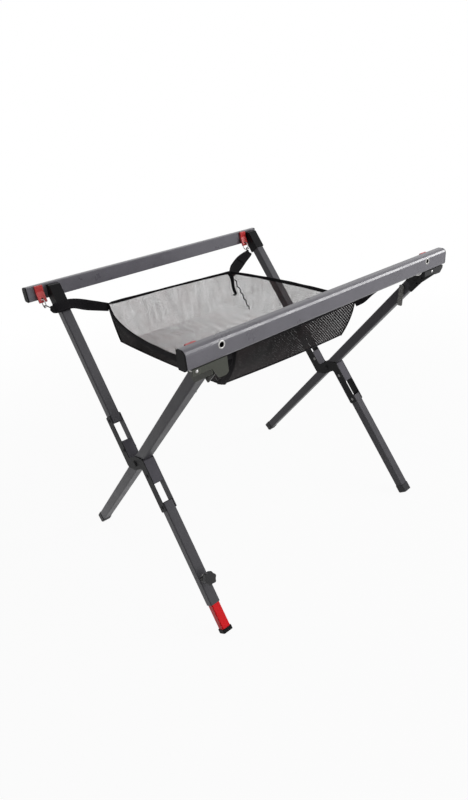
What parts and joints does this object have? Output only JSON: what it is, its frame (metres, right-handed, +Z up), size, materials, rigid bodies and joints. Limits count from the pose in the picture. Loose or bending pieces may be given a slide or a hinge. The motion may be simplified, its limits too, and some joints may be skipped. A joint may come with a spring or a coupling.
{
  "type": "camping table",
  "caption": "Folding camping table stand: two long rails on scissor legs with a hanging mesh basket and a pull-out levelling foot.",
  "frame": {"origin": "on the floor under the middle of the bounding box", "axes": "+X along the rails to the far end, +Y to the rear rail, +Z up"},
  "size_m": [0.7568, 0.6726, 0.7245],
  "materials": {
    "grey_paint": "grey powder coat, satin",
    "black_steel": "black coated sheet, satin",
    "bare_steel": "zinc plated",
    "dull_steel": "dull grey sheet",
    "black_plastic": "moulded, satin",
    "red_plastic": "moulded, satin",
    "red_paint": "red coat, satin",
    "webbing": "woven polyester webbing",
    "netting": "knitted mesh with bound edges"
  },
  "bodies": {
    "rear_side": {"basket": "netting", "far_hub_block_lower": "black_plastic", "far_hub_block_upper": "black_plastic", "far_hub_plate_inner": "black_steel", "far_hub_plate_outer": "black_steel", "far_pivot_bolt": "bare_steel", "far_rear_bracket": "black_plastic", "far_rear_clip": "red_plastic", "far_rear_hook": "black_steel", "far_rear_leg_cap": "black_plastic", "far_rear_leg_lower": "grey_paint", "far_rear_leg_upper": "grey_paint", "far_rear_ring": "bare_steel", "far_rear_strap": "webbing", "knob_washer": "bare_steel", "near_hub_block_lower": "black_plastic", "near_hub_block_upper": "black_plastic", "near_hub_plate_inner": "black_steel", "near_hub_plate_outer": "black_steel", "near_pivot_bolt": "bare_steel", "near_rear_bracket": "black_plastic", "near_rear_clip": "red_plastic", "near_rear_hook": "black_steel", "near_rear_leg_lower": "grey_paint", "near_rear_leg_upper": "grey_paint", "near_rear_ring": "bare_steel", "near_rear_strap": "webbing", "rear_far_cap": "black_plastic", "rear_near_cap": "black_plastic", "rear_rail": "grey_paint"},
    "front_side": {"far_front_bracket": "dull_steel", "far_front_clip": "red_plastic", "far_front_hook": "black_steel", "far_front_leg": "grey_paint", "far_front_leg_cap": "black_plastic", "far_front_ring": "bare_steel", "far_front_strap": "webbing", "far_leg_stay": "bare_steel", "far_leg_strip": "bare_steel", "front_far_cap": "black_plastic", "front_near_cap": "black_plastic", "front_rail": "grey_paint", "near_front_bracket": "dull_steel", "near_front_clip": "red_plastic", "near_front_hook": "black_steel", "near_front_leg": "grey_paint", "near_front_leg_cap": "black_plastic", "near_front_ring": "bare_steel", "near_front_strap": "webbing", "near_leg_stay": "bare_steel", "near_leg_strip": "bare_steel"},
    "foot": {"level_foot": "red_paint", "level_foot_cap": "black_plastic"},
    "knob": {"clamp_knob": "black_plastic"}
  },
  "joints": [
    {"name": "frame_fold", "type": "hinge", "parent": "rear_side", "child": "front_side", "pos_m": [0, 0.0061, 0.3405], "axis": [-1, 0, 0], "range_deg": [0, 76], "deforming": ["basket", "near_rear_strap", "near_front_strap", "far_rear_strap", "far_front_strap"]},
    {"name": "foot_slide", "type": "slide", "parent": "rear_side", "child": "foot", "axis": [-0.0267, -0.5731, -0.819], "range_m": [-0.045, 0.03]},
    {"name": "knob_turn", "type": "hinge", "parent": "rear_side", "child": "knob", "pos_m": [-0.33079, -0.20575, 0.11903], "axis": [0.0187, -0.8195, 0.5728], "range_deg": [0, 360]}
  ]
}
